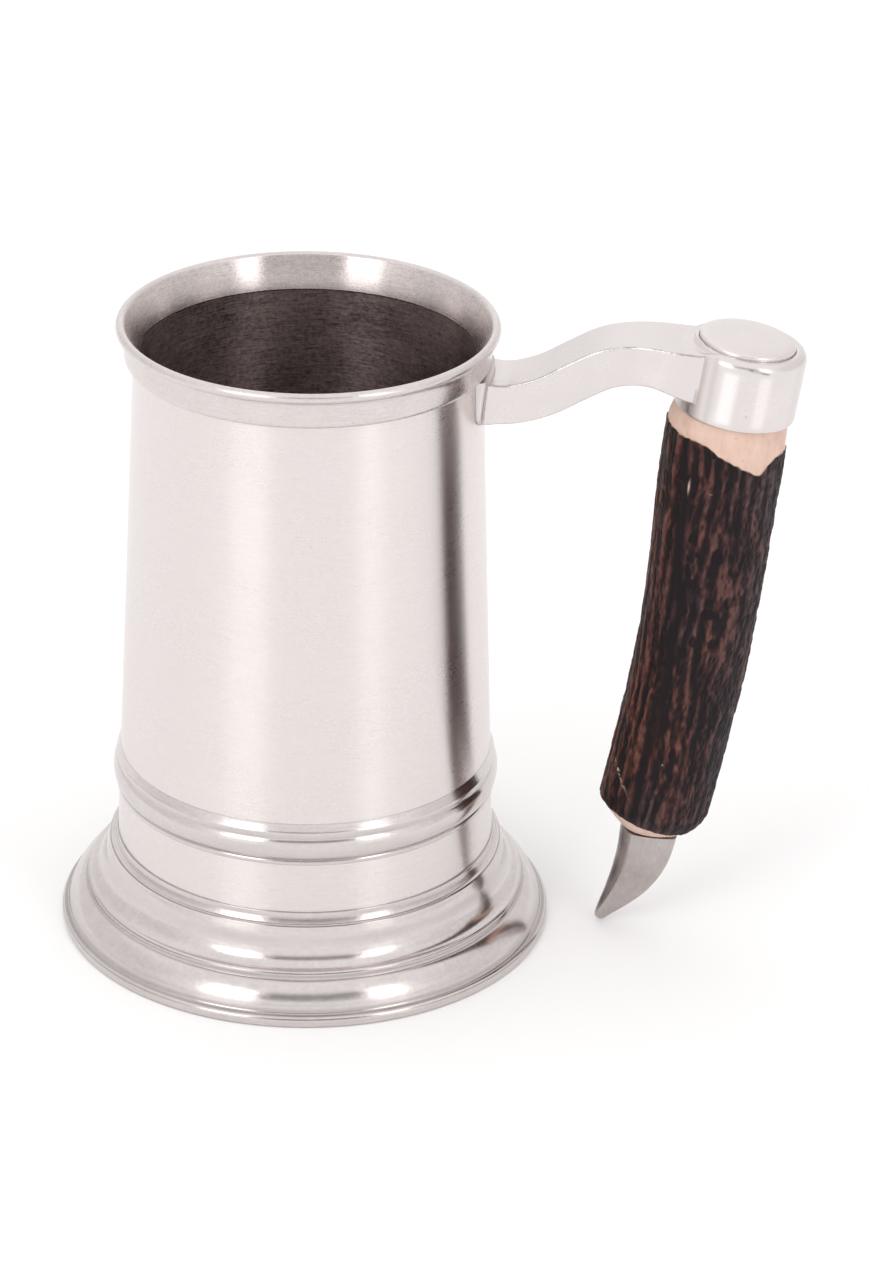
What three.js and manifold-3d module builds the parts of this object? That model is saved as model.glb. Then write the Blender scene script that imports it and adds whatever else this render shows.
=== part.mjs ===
// Pewter tankard with a stag-horn pistol grip hung from a cast S-shaped arm.
// Millimetres, +Z up, handle along +X, table at z = 0, symmetric about the XZ plane.
import * as THREE from "three";
import { mergeVertices } from "three/addons/utils/BufferGeometryUtils.js";
import Module from "manifold-3d";

const wasm = await Module();
wasm.setup();

// ---- driving dimensions ----
const FOOT_R = 54; // foot of the skirt
const BARREL_TOP_Z = 132.75;
const BARREL_BOTTOM_Z = 13;
const BARREL_TOP_R = 36.93; // outer radius of the barrel at its top edge
const BARREL_TAPER = 0.0394; // growth of that radius per millimetre downwards
const BARREL_WALL = 1.1;
const FIT = 0.2; // solder gap between two coaxial pieces
const FLOOR_T = 1.6;
const SEG = 60; // facets round the body

const ARM_W = 14.4; // across the handle plane
const ARM_T = 8.8;
const ARM_FLARE_X = 70; // from here on the arm widens into the boss
const ARM_END_W = 18.8; // and this is how wide it is where they meet
const ARM_SOFT = 1.0; // softened edge of the casting
const SADDLE_W = 17.4;
const SADDLE_TOP_Z = 131.5;
const SADDLE_BOTTOM_Z = 120.8;

const BOSS = new THREE.Vector3(90, 0, 125.1); // centre of the underside of the boss
const BOSS_TILT = THREE.MathUtils.degToRad(8);
const BOSS_R = 12.9;
const BOSS_H = 15.4;
const CAP_R = 10.2;
const CAP_T = 2.6;
const CAP_PROUD = 0.9;

const GRIP_TOP = new THREE.Vector3(89.1, 0, 124.6);
const GRIP_END = new THREE.Vector3(75.5, 0, 24);
const GRIP_BOW = 1.9; // how far the horn's middle stands out from the chord
const GRIP_R = 12.2;
const ROD_R = 3;
const ROD_UP = 9.6; // rod above the top of the grip
const ROD_DOWN = 12; // rod below the end of the grip
const WASHER_R = 5.8;
const NUT_FLATS = 10;
const CLAW_R = 6.5;

// ---- helpers ----
const v2 = (x, y) => new THREE.Vector2(x, y);
const v3 = (x, y, z) => new THREE.Vector3(x, y, z);
const barrelR = (z) => BARREL_TOP_R + BARREL_TAPER * (BARREL_TOP_Z - z);

// A closed geometry as a solid, with its faces turned outwards.
function solid(geometry) {
  const g = geometry.clone();
  g.deleteAttribute("normal");
  g.deleteAttribute("uv");
  const m = mergeVertices(g, 1e-4);
  const tri = [];
  const src = m.index.array;
  for (let i = 0; i < src.length; i += 3) {
    const [a, b, c] = [src[i], src[i + 1], src[i + 2]];
    if (a !== b && b !== c && c !== a) tri.push(a, b, c);
  }
  const p = m.attributes.position;
  let six = 0;
  for (let i = 0; i < tri.length; i += 3) {
    const [a, b, c] = [0, 1, 2].map((k) => new THREE.Vector3().fromBufferAttribute(p, tri[i + k]));
    six += a.dot(b.cross(c));
  }
  if (six < 0) {
    for (let i = 0; i < tri.length; i += 3) {
      [tri[i + 1], tri[i + 2]] = [tri[i + 2], tri[i + 1]];
    }
  }
  return new wasm.Manifold(
    new wasm.Mesh({
      numProp: 3,
      vertProperties: new Float32Array(p.array),
      triVerts: new Uint32Array(tri),
    }),
  );
}

function geometryOf(body) {
  const m = body.getMesh();
  const v = new Float32Array(m.numVert * 3);
  for (let i = 0; i < m.numVert; i++) {
    v.set(m.vertProperties.subarray(i * m.numProp, i * m.numProp + 3), i * 3);
  }
  const g = new THREE.BufferGeometry();
  g.setAttribute("position", new THREE.BufferAttribute(v, 3));
  g.setIndex(new THREE.BufferAttribute(new Uint32Array(m.triVerts), 1));
  g.computeVertexNormals();
  return g;
}

// Profile of [radius, height] pairs turned about Z; closed on itself unless it starts on the axis.
function turned(profile, segments = SEG) {
  const pts = profile.map(([r, z]) => v2(r, z));
  if (profile[0][0] > 0) pts.push(pts[0].clone());
  return new THREE.LatheGeometry(pts, segments).rotateX(Math.PI / 2);
}

// n + 1 points of an arc about (cr, cz), from angle a to angle b in degrees.
function arc(cr, cz, radius, a, b, n, flat = 1) {
  const out = [];
  for (let i = 0; i <= n; i++) {
    const t = THREE.MathUtils.degToRad(a + ((b - a) * i) / n);
    out.push([cr + radius * Math.cos(t), cz + radius * flat * Math.sin(t)]);
  }
  return out;
}

// n + 1 points of a cubic from p to q, leaving along pc and arriving along qc.
function sweepLine(p, pc, qc, q, n) {
  const curve = new THREE.CubicBezierCurve(v2(...p), v2(...pc), v2(...qc), v2(...q));
  return curve.getPoints(n).map((o) => [o.x, o.y]);
}

// Puts a solid made about the Z axis at `at`, leaning by `tilt` towards +X.
function placed(geometry, at, tilt) {
  return geometry.rotateY(tilt).translate(at.x, at.y, at.z);
}

// ---- body of the tankard ----
function barrel() {
  const outer = [BARREL_BOTTOM_Z, 52, 92, BARREL_TOP_Z].map((z) => [barrelR(z), z]);
  const inner = [BARREL_TOP_Z, 92, 52, BARREL_BOTTOM_Z].map((z) => [barrelR(z) - BARREL_WALL, z]);
  return turned([...outer, ...inner]);
}

function lipRing() {
  const seat = barrelR(BARREL_TOP_Z) + FIT;
  return turned([
    [seat, 132.15],
    [37.7, 132.15],
    ...arc(37.7, 133.25, 1.1, -60, 0, 3),
    [38.85, 134.6],
    [38.72, 136.2],
    ...sweepLine([38.68, 136.9], [38.7, 137.7], [39.0, 138.05], [39.5, 138.3], 3),
    ...arc(39.5, 139.35, 1.05, -50, 140, 9),
    ...sweepLine([38.35, 139.5], [37.6, 138], [36.4, 135.6], [35.95, 133.1], 5),
    [seat, 133.1],
  ]);
}

function waistBead() {
  const inner = (z) => [barrelR(z) + 0.15, z];
  return turned([
    inner(32.45),
    [41.3, 32.45],
    [41.48, 32.75],
    [41.46, 33.3],
    [41.38, 33.5],
    ...arc(40.2, 36.1, 1.95, -54, 54, 8, 1.59),
    [41.33, 39.0],
    [41.42, 39.5],
    [41.4, 40.0],
    [41.2, 40.45],
    [40.8, 41.33],
    inner(42),
  ]);
}

function baseSkirt() {
  return turned([
    [barrelR(21) + FIT, 21.05],
    [41.7, 20.95],
    ...sweepLine([41.76, 20.3], [41.95, 19.6], [42.4, 18.95], [42.95, 18.6], 2),
    ...sweepLine([43.3, 18.05], [43.85, 17.4], [43.9, 16.6], [44.02, 15.7], 2),
    ...sweepLine([44.2, 14.4], [44.75, 12.0], [45.7, 10.6], [47.4, 10.15], 4),
    [47.95, 9.9],
    [48.2, 9.35],
    [48.22, 8.5],
    ...sweepLine([48.5, 8.35], [50.15, 7.55], [51.65, 5.5], [52.45, 3.1], 5),
    [52.65, 2.6],
    [52.95, 2.4],
    ...arc(52.75, 1.15, 1.25, 62, 0, 4),
    [FOOT_R, 0],
    [51.6, 0],
    ...sweepLine([51.3, 1.8], [50.4, 4.4], [48.6, 6.6], [46.9, 8.1], 3),
    ...sweepLine([46.2, 9.2], [45.0, 9.9], [43.4, 10.8], [42.5, 12.4], 3),
    [barrelR(13.2) + FIT, 13.2],
  ]);
}

function floorDisc() {
  const r = barrelR(BARREL_BOTTOM_Z + FLOOR_T) - BARREL_WALL - FIT;
  return turned([
    [0, BARREL_BOTTOM_Z],
    [r, BARREL_BOTTOM_Z],
    [r, BARREL_BOTTOM_Z + FLOOR_T],
    [0, BARREL_BOTTOM_Z + FLOOR_T],
  ]);
}

// ---- arm and boss ----
// A rounded block that trims a saddle out of a ring round the barrel.
function saddleBlock() {
  const h = SADDLE_TOP_Z - SADDLE_BOTTOM_Z;
  const w = SADDLE_W / 2;
  const r = 2.5;
  const s = new THREE.Shape();
  s.moveTo(-w, h);
  s.lineTo(-w, r);
  s.absarc(-w + r, r, r, Math.PI, 1.5 * Math.PI, false);
  s.lineTo(w - r, 0);
  s.absarc(w - r, r, r, 1.5 * Math.PI, 2 * Math.PI, false);
  s.lineTo(w, h);
  const g = new THREE.ExtrudeGeometry(s, { depth: 20, bevelEnabled: false, curveSegments: 5 });
  g.rotateX(Math.PI / 2).rotateZ(Math.PI / 2);
  return g.translate(28, 0, SADDLE_BOTTOM_Z);
}

// Outer radius of the saddle, which leans out a little towards the lip.
const saddleOuter = (z) => 38.32 + 0.0966 * (z - SADDLE_BOTTOM_Z);

function armSaddle() {
  const [lo, hi] = [SADDLE_BOTTOM_Z - 1, SADDLE_TOP_Z + 0.1];
  const ring = turned([
    [barrelR(lo) + FIT, lo],
    [saddleOuter(lo), lo],
    [saddleOuter(hi), hi],
    [barrelR(hi) + FIT, hi],
  ]);
  return geometryOf(solid(ring).intersect(solid(saddleBlock())));
}

// Side outline of the arm: one thickness laid along an S-shaped centreline.
function armOutline() {
  const line = new THREE.SplineCurve([
    v2(33, 126.3),
    v2(38.5, 126.2),
    v2(44, 126.5),
    v2(50.5, 128.6),
    v2(57, 132.3),
    v2(63.4, 135.5),
    v2(70.5, 136.5),
    v2(79, 135.3),
    v2(88, 133.6),
  ]);
  const n = 30;
  const [up, down] = [[], []];
  for (let i = 0; i <= n; i++) {
    const p = line.getPoint(i / n);
    const t = line.getTangent(i / n);
    up.push(v2(p.x - (t.y * ARM_T) / 2, p.y + (t.x * ARM_T) / 2));
    down.push(v2(p.x + (t.y * ARM_T) / 2, p.y - (t.x * ARM_T) / 2));
  }
  return new THREE.Shape([...down, ...up.reverse()]);
}

const ROD_DIR = GRIP_TOP.clone().sub(GRIP_END).normalize();
const ROD_TILT = Math.atan2(ROD_DIR.x, ROD_DIR.z);

function handleArm() {
  const body = new THREE.ExtrudeGeometry(armOutline(), {
    depth: ARM_W - 2 * ARM_SOFT,
    bevelEnabled: true,
    bevelSize: ARM_SOFT,
    bevelOffset: -ARM_SOFT,
    bevelThickness: ARM_SOFT,
    bevelSegments: 3,
  });
  body.rotateX(Math.PI / 2).translate(0, ARM_W / 2 - ARM_SOFT, 0);
  const at = body.attributes.position;
  for (let i = 0; i < at.count; i++) {
    const over = THREE.MathUtils.smoothstep(at.getX(i), ARM_FLARE_X, ARM_FLARE_X + 10);
    at.setY(i, at.getY(i) * (1 + (ARM_END_W / ARM_W - 1) * over));
  }
  const soft = 2;
  const boss = turned(
    [
      [0, 0],
      [BOSS_R - 0.6, 0],
      [BOSS_R, 0.6],
      ...arc(BOSS_R - soft, BOSS_H - soft, soft, 0, 90, 6),
      [0, BOSS_H],
    ],
    48,
  );
  const seat = turned(
    [
      [0, BOSS_H - CAP_T + CAP_PROUD - 0.2],
      [CAP_R + 0.3, BOSS_H - CAP_T + CAP_PROUD - 0.2],
      [CAP_R + 0.3, BOSS_H + 6],
      [0, BOSS_H + 6],
    ],
    48,
  );
  const pocket = turned([[0, 5.4], [WASHER_R + 0.6, 5.4], [WASHER_R + 0.6, 15], [0, 15]], 32);
  const bore = turned([[0, -6], [ROD_R + 0.5, -6], [ROD_R + 0.5, 10], [0, 10]], 32);
  const clear = turned([
    [0, 90],
    [saddleOuter(90) + FIT, 90],
    [saddleOuter(139) + FIT, 139],
    [0, 139],
  ]);
  return geometryOf(
    solid(body)
      .add(solid(placed(boss, BOSS, BOSS_TILT)))
      .subtract(solid(placed(seat, BOSS, BOSS_TILT)))
      .subtract(solid(placed(pocket, GRIP_TOP, ROD_TILT)))
      .subtract(solid(placed(bore, GRIP_TOP, ROD_TILT)))
      .subtract(solid(clear)),
  );
}

function bossCap() {
  const base = BOSS_H - CAP_T + CAP_PROUD;
  const cap = turned(
    [
      [0, base],
      [CAP_R, base],
      ...arc(CAP_R - 0.5, base + CAP_T - 0.5, 0.5, 0, 90, 3),
      [0, base + CAP_T + 0.15],
    ],
    48,
  );
  return placed(cap, BOSS, BOSS_TILT);
}

// ---- horn grip ----
// Centre of the horn at share u of its length, counted from the boss; it starts a little inside
// the boss and is cut off square to it.
function hornCentre(u) {
  const p = GRIP_TOP.clone().lerp(GRIP_END, u);
  const wave = 0.36 * Math.exp(-(((u - 0.57) / 0.16) ** 2)) - 0.38 * Math.exp(-(((u - 0.17) / 0.14) ** 2));
  return p.addScaledVector(v3(ROD_DIR.z, 0, -ROD_DIR.x), GRIP_BOW * 4 * u * (1 - u) + wave);
}

const HORN_LENGTH = GRIP_TOP.distanceTo(GRIP_END);
const END_AXIS = hornCentre(0.99).sub(hornCentre(1.01));
const END_TILT = Math.atan2(END_AXIS.x, END_AXIS.z) - 0.15;

// Share of the length at which the horn ends: its foot is cut nearly level, so its outer side is shorter.
const hornFoot = (a) => 1 - 0.0115 * (1 - Math.cos(a));

// Radius of the horn: bark ridges run along it and fade out at both smooth ends. The foot is cut
// back in a long chamfer on the side next to the tankard and rounded off on the other.
function hornRadius(u, a) {
  const swell = 0.7 * Math.exp(-(((u - 0.12) / 0.2) ** 2)) - 0.25 * u;
  const fade = Math.min(1, Math.max(0, (u - 0.03) / 0.1), Math.max(0, (0.93 - u) / 0.1));
  const ridge =
    0.22 * Math.cos(13 * a + 1.5 * Math.sin(5 * u)) +
    0.12 * Math.cos(19 * a - 3 * u + 1) +
    0.1 * Math.cos(2 * a + 4 * u);
  const left = (hornFoot(a) - u) * HORN_LENGTH;
  const chamfer = 6.6 * Math.max(0, 1 - left / 8) ** 1.3;
  const k = Math.min(1, Math.max(0, 1 - left / 6));
  const round = 5.6 * (1 - Math.sqrt(1 - k * k));
  const inner = (1 + Math.cos(a)) / 2;
  return GRIP_R + swell + fade * ridge - inner * chamfer - (1 - inner) * round;
}

function hornGrip() {
  const [around, along] = [48, 28];
  const pos = [];
  const idx = [];
  const side = v3(0, 1, 0);
  for (let j = 0; j <= along; j++) {
    const share = j < 18 ? -0.03 + (0.91 * j) / 18 : 1 - 0.12 * (1 - (j - 18) / (along - 18)) ** 1.4;
    for (let i = 0; i < around; i++) {
      const a = (2 * Math.PI * i) / around;
      const u = share * (share > 0 ? hornFoot(a) : 1);
      const c = hornCentre(u);
      const t = hornCentre(u + 0.01).sub(hornCentre(u - 0.01)).normalize();
      const out = v3(0, 0, 0).crossVectors(side, t).normalize();
      const r = hornRadius(u, a);
      const p = c.clone().addScaledVector(out, r * Math.cos(a)).addScaledVector(side, r * Math.sin(a));
      pos.push(p.x, p.y, p.z);
    }
  }
  const top = pos.length / 3;
  pos.push(...hornCentre(-0.03).toArray(), ...hornCentre(0.9885).toArray());
  for (let i = 0; i < around; i++) {
    const k = (i + 1) % around;
    for (let j = 0; j < along; j++) {
      const [p, q] = [j * around, (j + 1) * around];
      idx.push(p + i, q + i, p + k, p + k, q + i, q + k);
    }
    idx.push(top, i, k);
    idx.push(top + 1, along * around + k, along * around + i);
  }
  const g = new THREE.BufferGeometry();
  g.setAttribute("position", new THREE.BufferAttribute(new Float32Array(pos), 3));
  g.setIndex(idx);
  const hole = turned([[0, -120], [ROD_R + 0.4, -120], [ROD_R + 0.4, 8], [0, 8]], 24);
  const seat = turned([[0, -0.3], [30, -0.3], [30, 20], [0, 20]], 24);
  const foot = turned([[0, -9], [16, -9], [16, 0], [0, 0]], 24);
  return geometryOf(
    solid(g)
      .subtract(solid(placed(foot, hornCentre(0.9885), END_TILT)))
      .subtract(solid(placed(hole, GRIP_TOP, ROD_TILT)))
      .subtract(solid(placed(seat, BOSS, BOSS_TILT))),
  );
}

// ---- rod, washer, nut and claw ----
const ROD_LENGTH = GRIP_TOP.distanceTo(GRIP_END);

function tieRod() {
  const thread = (from, to) => {
    const out = [];
    for (let z = from; z < to - 0.6; z += 1.25) {
      out.push([ROD_R - 0.5, z], [ROD_R, z + 0.62]);
    }
    return out;
  };
  const low = -ROD_LENGTH - ROD_DOWN;
  const profile = [
    [0, low],
    ...thread(low, low + ROD_DOWN),
    [ROD_R - 0.45, low + ROD_DOWN],
    [ROD_R - 0.45, -2],
    ...thread(-1, ROD_UP),
    [0, ROD_UP],
  ];
  return placed(turned(profile, 20), GRIP_TOP, ROD_TILT);
}

function rodWasher() {
  const ring = turned([[ROD_R + 0.35, 5.6], [WASHER_R, 5.6], [WASHER_R, 6.4], [ROD_R + 0.35, 6.4]], 32);
  return placed(ring, GRIP_TOP, ROD_TILT);
}

function rodNut() {
  const s = new THREE.Shape();
  for (let i = 0; i < 6; i++) {
    const a = (Math.PI * i) / 3;
    const r = NUT_FLATS / Math.sqrt(3);
    s[i ? "lineTo" : "moveTo"](r * Math.cos(a), r * Math.sin(a));
  }
  s.closePath();
  const hole = new THREE.Path();
  hole.absarc(0, 0, ROD_R + 0.3, 0, 2 * Math.PI, true);
  s.holes.push(hole);
  const g = new THREE.ExtrudeGeometry(s, { depth: 3.2, bevelEnabled: false, curveSegments: 24 });
  return placed(g.translate(0, 0, 6.6), GRIP_TOP, ROD_TILT);
}

// The claw: an oval horn that hooks towards the tankard and ends in a blunt point.
function clawTip() {
  const line = new THREE.SplineCurve([
    v2(76.1, 26),
    v2(74.8, 18.5),
    v2(72.65, 12.6),
    v2(69.85, 7.6),
    v2(67.1, 3.4),
    v2(65.4, 0.7),
  ]);
  const [around, along] = [32, 18];
  const pos = [];
  const idx = [];
  const side = v3(0, 1, 0);
  for (let j = 0; j < along; j++) {
    const u = j / along;
    const p = line.getPointAt(u);
    const t = line.getTangentAt(u);
    const out = v3(-t.y, 0, t.x);
    const r = CLAW_R * (1 - u ** 1.85) ** (0.87 - 0.3 * u ** 12);
    for (let i = 0; i < around; i++) {
      const a = (2 * Math.PI * i) / around;
      const q = v3(p.x, 0, p.y);
      q.addScaledVector(out, r * Math.cos(a)).addScaledVector(side, 0.94 * r * Math.sin(a));
      pos.push(q.x, q.y, q.z);
    }
  }
  const n = pos.length / 3;
  const [a0, a1] = [line.getPointAt(0), line.getPointAt(1)];
  pos.push(a0.x, 0, a0.y, a1.x, 0, a1.y);
  for (let i = 0; i < around; i++) {
    const k = (i + 1) % around;
    for (let j = 0; j < along - 1; j++) {
      const [p, q] = [j * around, (j + 1) * around];
      idx.push(p + i, q + i, p + k, p + k, q + i, q + k);
    }
    idx.push(n, i, k);
    idx.push(n + 1, (along - 1) * around + k, (along - 1) * around + i);
  }
  const g = new THREE.BufferGeometry();
  g.setAttribute("position", new THREE.BufferAttribute(new Float32Array(pos), 3));
  g.setIndex(idx);
  const depth = -ROD_LENGTH - ROD_DOWN - 0.4;
  const hole = turned([[0, depth], [ROD_R + 0.3, depth], [ROD_R + 0.3, -90], [0, -90]], 24);
  const over = turned([[0, -0.3], [12, -0.3], [12, 8], [0, 8]], 24);
  return geometryOf(
    solid(g)
      .subtract(solid(placed(hole, GRIP_TOP, ROD_TILT)))
      .subtract(solid(placed(over, hornCentre(0.9885), END_TILT))),
  );
}

// ---- assembly ----
const PEWTER = { color: 0xcfc8c4, roughness: 0.34, metalness: 1 };
const CAST = { color: 0xd6d0cc, roughness: 0.28, metalness: 1 };
const STEEL = { color: 0x9a9a9c, roughness: 0.4, metalness: 1 };
const HORN = { color: 0x3a2622, roughness: 0.7, metalness: 0 };
const CLAW = { color: 0x9d9691, roughness: 0.25, metalness: 1 };

const pieces = [
  ["barrel", barrel, PEWTER],
  ["lip_ring", lipRing, PEWTER],
  ["waist_bead", waistBead, PEWTER],
  ["base_skirt", baseSkirt, PEWTER],
  ["floor_disc", floorDisc, PEWTER],
  ["arm_saddle", armSaddle, CAST],
  ["handle_arm", handleArm, CAST],
  ["boss_cap", bossCap, CAST],
  ["horn_grip", hornGrip, HORN],
  ["tie_rod", tieRod, STEEL],
  ["rod_washer", rodWasher, STEEL],
  ["rod_nut", rodNut, STEEL],
  ["claw_tip", clawTip, CLAW],
];

const tankard = new THREE.Group();
tankard.name = "tankard";
for (const [name, make, look] of pieces) {
  const mesh = new THREE.Mesh(geometryOf(solid(make())), new THREE.MeshStandardMaterial(look));
  mesh.name = name;
  tankard.add(mesh);
}

// The frame's origin lies on the table under the middle of the bounding box.
const box = new THREE.Box3().setFromObject(tankard);
tankard.position.x = -(box.min.x + box.max.x) / 2;
tankard.updateMatrixWorld(true);

export default tankard;
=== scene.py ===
import math
import bpy
import bmesh
import numpy as np
from mathutils import Matrix, Vector


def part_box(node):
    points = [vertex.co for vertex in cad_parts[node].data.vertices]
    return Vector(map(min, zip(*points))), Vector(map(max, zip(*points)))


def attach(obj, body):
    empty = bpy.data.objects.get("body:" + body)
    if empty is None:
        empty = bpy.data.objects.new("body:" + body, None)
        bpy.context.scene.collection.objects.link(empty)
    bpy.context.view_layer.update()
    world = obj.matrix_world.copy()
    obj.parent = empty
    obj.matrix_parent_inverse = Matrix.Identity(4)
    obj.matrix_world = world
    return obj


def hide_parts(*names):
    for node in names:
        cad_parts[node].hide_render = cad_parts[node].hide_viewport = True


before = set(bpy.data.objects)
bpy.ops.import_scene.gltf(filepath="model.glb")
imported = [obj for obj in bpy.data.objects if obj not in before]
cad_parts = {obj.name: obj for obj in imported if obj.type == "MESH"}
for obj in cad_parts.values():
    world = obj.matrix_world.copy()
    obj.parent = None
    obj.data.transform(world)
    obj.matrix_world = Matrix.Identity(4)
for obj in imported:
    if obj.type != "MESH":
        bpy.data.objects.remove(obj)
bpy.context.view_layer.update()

MM = 0.001

# ---- places taken from the frame ----
b_lo, b_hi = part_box("barrel")
s_lo, s_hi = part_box("base_skirt")
AXIS = Vector(((b_lo.x + b_hi.x) / 2, 0, 0))        # foot of the cup's axis
FOOT_R = (s_hi.x - s_lo.x) / 2 / MM
BARREL_TOP = b_hi.z / MM
BARREL_LOW = b_lo.z / MM
MOUTH_R = 36.93                                     # outside of the cup wall at its top
TAPER = 0.0394                                      # how much the wall's radius grows for each mm down
WALL = 1.1
SADDLE_R, SADDLE_Z, SADDLE_LEAN = 38.2, 119.6, 0.0966
BOSS_X = 90.0                                       # from the cup's axis to the boss
HANDLE_TURN = math.radians(6)                       # the camera stands this far round towards +X


def barrel_r(z):
    """Outside radius of the cup wall at height z."""
    return MOUTH_R + TAPER * (BARREL_TOP - z)


def saddle_r(z):
    """Outside radius of the plate that carries the arm; it leans out a little towards the rim."""
    return SADDLE_R + SADDLE_LEAN * (z - SADDLE_Z)


# ---- mesh helpers (profiles in millimetres about the cup's axis) ----
def step(x, lo, hi):
    """A soft step from 0 at lo to 1 at hi."""
    t = np.clip((x - lo) / (hi - lo), 0, 1)
    return t * t * (3 - 2 * t)


def arc(cr, cz, radius, a, b, n, tall=1.0):
    """Points on an arc from angle a to angle b in degrees, stretched upwards by tall."""
    out = []
    for i in range(n + 1):
        t = math.radians(a + (b - a) * i / n)
        out.append((cr + radius * math.cos(t), cz + radius * tall * math.sin(t)))
    return out


def sweep(p, pc, qc, q, n):
    """Points on a Bezier curve from p to q, pulled towards pc and qc."""
    out = []
    for i in range(n + 1):
        t = i / n
        k = ((1 - t) ** 3, 3 * t * (1 - t) ** 2, 3 * t * t * (1 - t), t ** 3)
        out.append(tuple(sum(w * v[j] for w, v in zip(k, (p, pc, qc, q))) for j in (0, 1)))
    return out


def refine(profile, gap):
    """Adds points along stretches longer than gap, so that shading and bump have something to hold."""
    out = [profile[0]]
    for a, b in zip(profile[:-1], profile[1:]):
        n = max(1, int(math.dist(a, b) / gap))
        out += [(a[0] + (b[0] - a[0]) * i / n, a[1] + (b[1] - a[1]) * i / n) for i in range(1, n + 1)]
    return out


def mesh_object(name, verts, faces, sharp=35):
    """A smooth-shaded object whose edges over sharp degrees stay crisp."""
    me = bpy.data.meshes.new(name)
    me.from_pydata([tuple(v) for v in verts], [], faces)
    me.validate()
    bm = bmesh.new()
    bm.from_mesh(me)
    bmesh.ops.recalc_face_normals(bm, faces=bm.faces)
    bm.to_mesh(me)
    bm.free()
    me.shade_smooth()
    if sharp:
        me.set_sharp_from_angle(angle=math.radians(sharp))
    ob = bpy.data.objects.new(name, me)
    bpy.context.scene.collection.objects.link(ob)
    return ob


def turned(name, profile, segs=288, sharp=35, origin=AXIS, tilt=0.0):
    """A profile turned about a vertical axis; it closes on itself, or starts and ends on the axis."""
    closed = profile[0][0] > 1e-6
    if closed and profile[0] == profile[-1]:
        profile = profile[:-1]
    verts, rings = [], []
    for r, z in profile:
        if r < 1e-6:
            rings.append([len(verts)])
            verts.append((0, 0, z * MM))
            continue
        rings.append(list(range(len(verts), len(verts) + segs)))
        for i in range(segs):
            a = 2 * math.pi * i / segs
            verts.append((r * MM * math.cos(a), r * MM * math.sin(a), z * MM))
    faces = []
    pairs = list(zip(rings[:-1], rings[1:])) + ([(rings[-1], rings[0])] if closed else [])
    for lo, hi in pairs:
        for i in range(segs):
            k = (i + 1) % segs
            if len(lo) == 1:
                faces.append((lo[0], hi[i], hi[k]))
            elif len(hi) == 1:
                faces.append((lo[i], hi[0], lo[k]))
            else:
                faces.append((lo[i], lo[k], hi[k], hi[i]))
    turn = Matrix.Translation(origin) @ Matrix.Rotation(tilt, 4, "Y")
    verts = [turn @ Vector(v) for v in verts]
    return mesh_object(name, verts, faces, sharp)


def hand_over(ob, node, slot_name, *materials):
    """Gives a finished piece its materials and puts it in place of its CAD node."""
    for m in materials:
        ob.data.materials.append(m)
    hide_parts(node)
    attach(ob, "root")


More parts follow.
